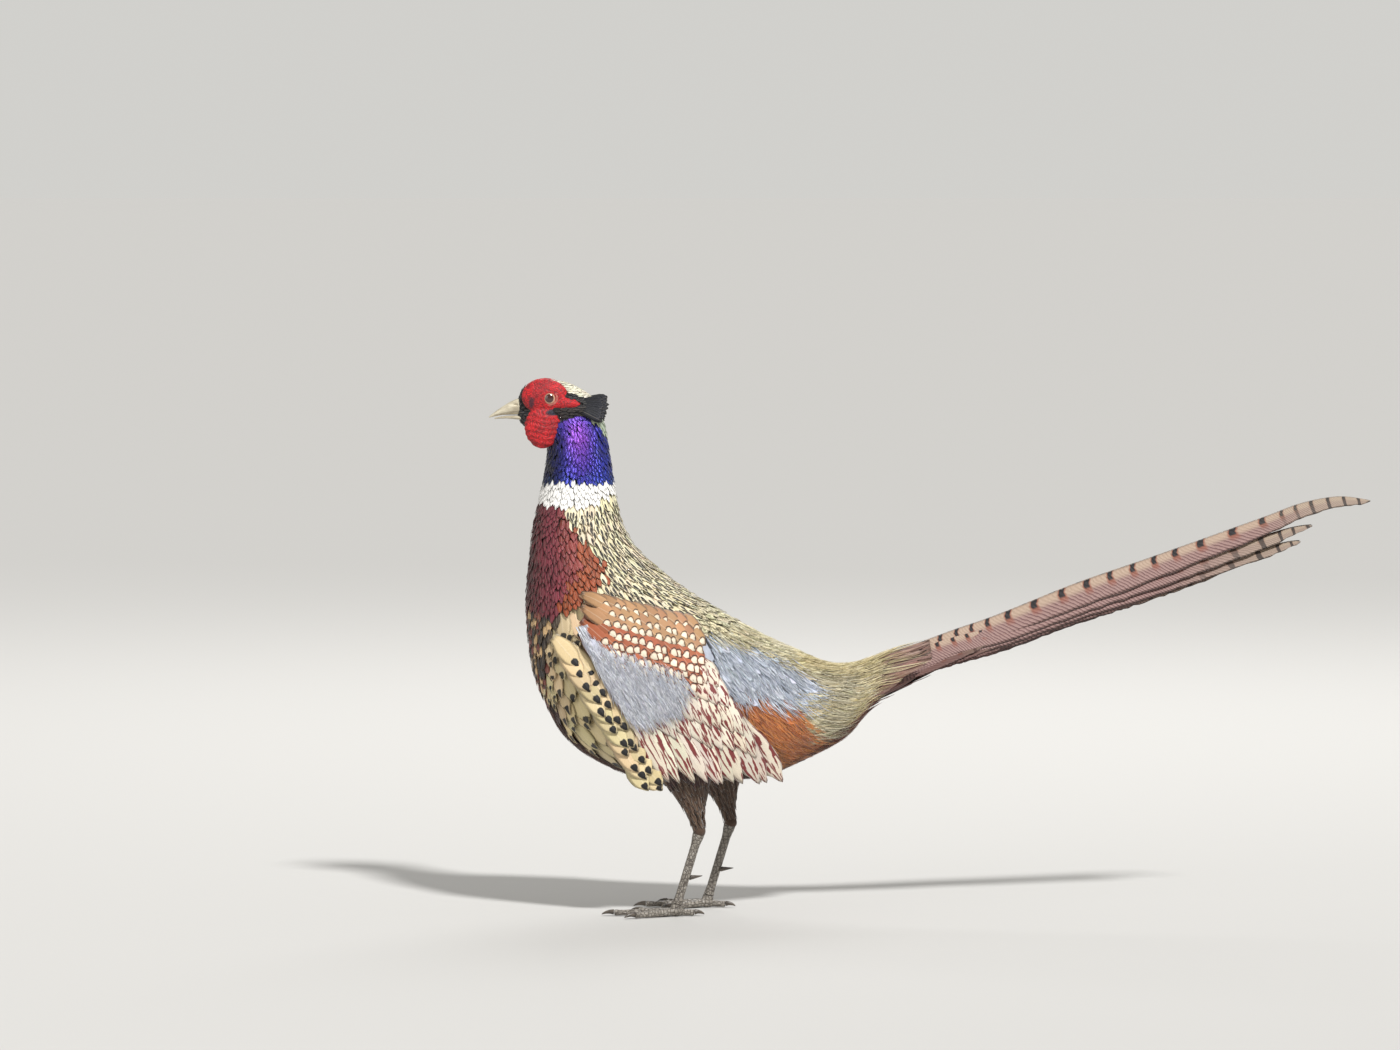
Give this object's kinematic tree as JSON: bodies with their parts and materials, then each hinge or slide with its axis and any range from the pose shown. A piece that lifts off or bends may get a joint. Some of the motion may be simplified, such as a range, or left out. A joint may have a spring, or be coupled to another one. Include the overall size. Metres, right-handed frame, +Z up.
{
  "type": "life-size model of a common pheasant",
  "caption": "Still, life-size museum-like model of a standing cock common pheasant, neck raised and long barred tail held high.",
  "frame": {"origin": "middle of the bounding box, at the level of the soles", "axes": "+Z up, +X from the bill to the tail tip, -Y to the bird's left"},
  "size_m": [0.7048, 0.1416, 0.4263],
  "materials": {
    "face_skin": "bare red face skin with small papillae, dark glossy crown feathers",
    "bill_horn": "semi-gloss ivory horn",
    "eye": "glossy amber eye with a black pupil",
    "neck_plumage": "glossy blue and violet feathers with a white ring",
    "body_plumage": "copper, chestnut and golden body feathers with dark tips",
    "rump_plumage": "soft powder-blue and olive hair-like feathers",
    "wing_feathers": "blue-grey coverts over brown and cream flight feathers",
    "tail_feathers": "buff tail feathers barred black with mauve fringes",
    "thigh_plumage": "matte dark brown down",
    "leg_scales": "grey-brown scutes",
    "dark_horn": "dark semi-gloss horn"
  },
  "bodies": {
    "root": {"head": "face_skin", "bill_upper": "bill_horn", "bill_lower": "bill_horn", "eye_left": "eye", "eye_right": "eye", "neck": "neck_plumage", "torso": "body_plumage", "rump": "rump_plumage", "wing_left": "wing_feathers", "wing_right": "wing_feathers", "tail": "tail_feathers", "thigh_left": "thigh_plumage", "tarsus_left": "leg_scales", "foot_left": "leg_scales", "spur_left": "dark_horn", "claw_inner_left": "dark_horn", "claw_middle_left": "dark_horn", "claw_outer_left": "dark_horn", "claw_hind_left": "dark_horn", "thigh_right": "thigh_plumage", "tarsus_right": "leg_scales", "foot_right": "leg_scales", "spur_right": "dark_horn", "claw_inner_right": "dark_horn", "claw_middle_right": "dark_horn", "claw_outer_right": "dark_horn", "claw_hind_right": "dark_horn"}
  },
  "joints": []
}
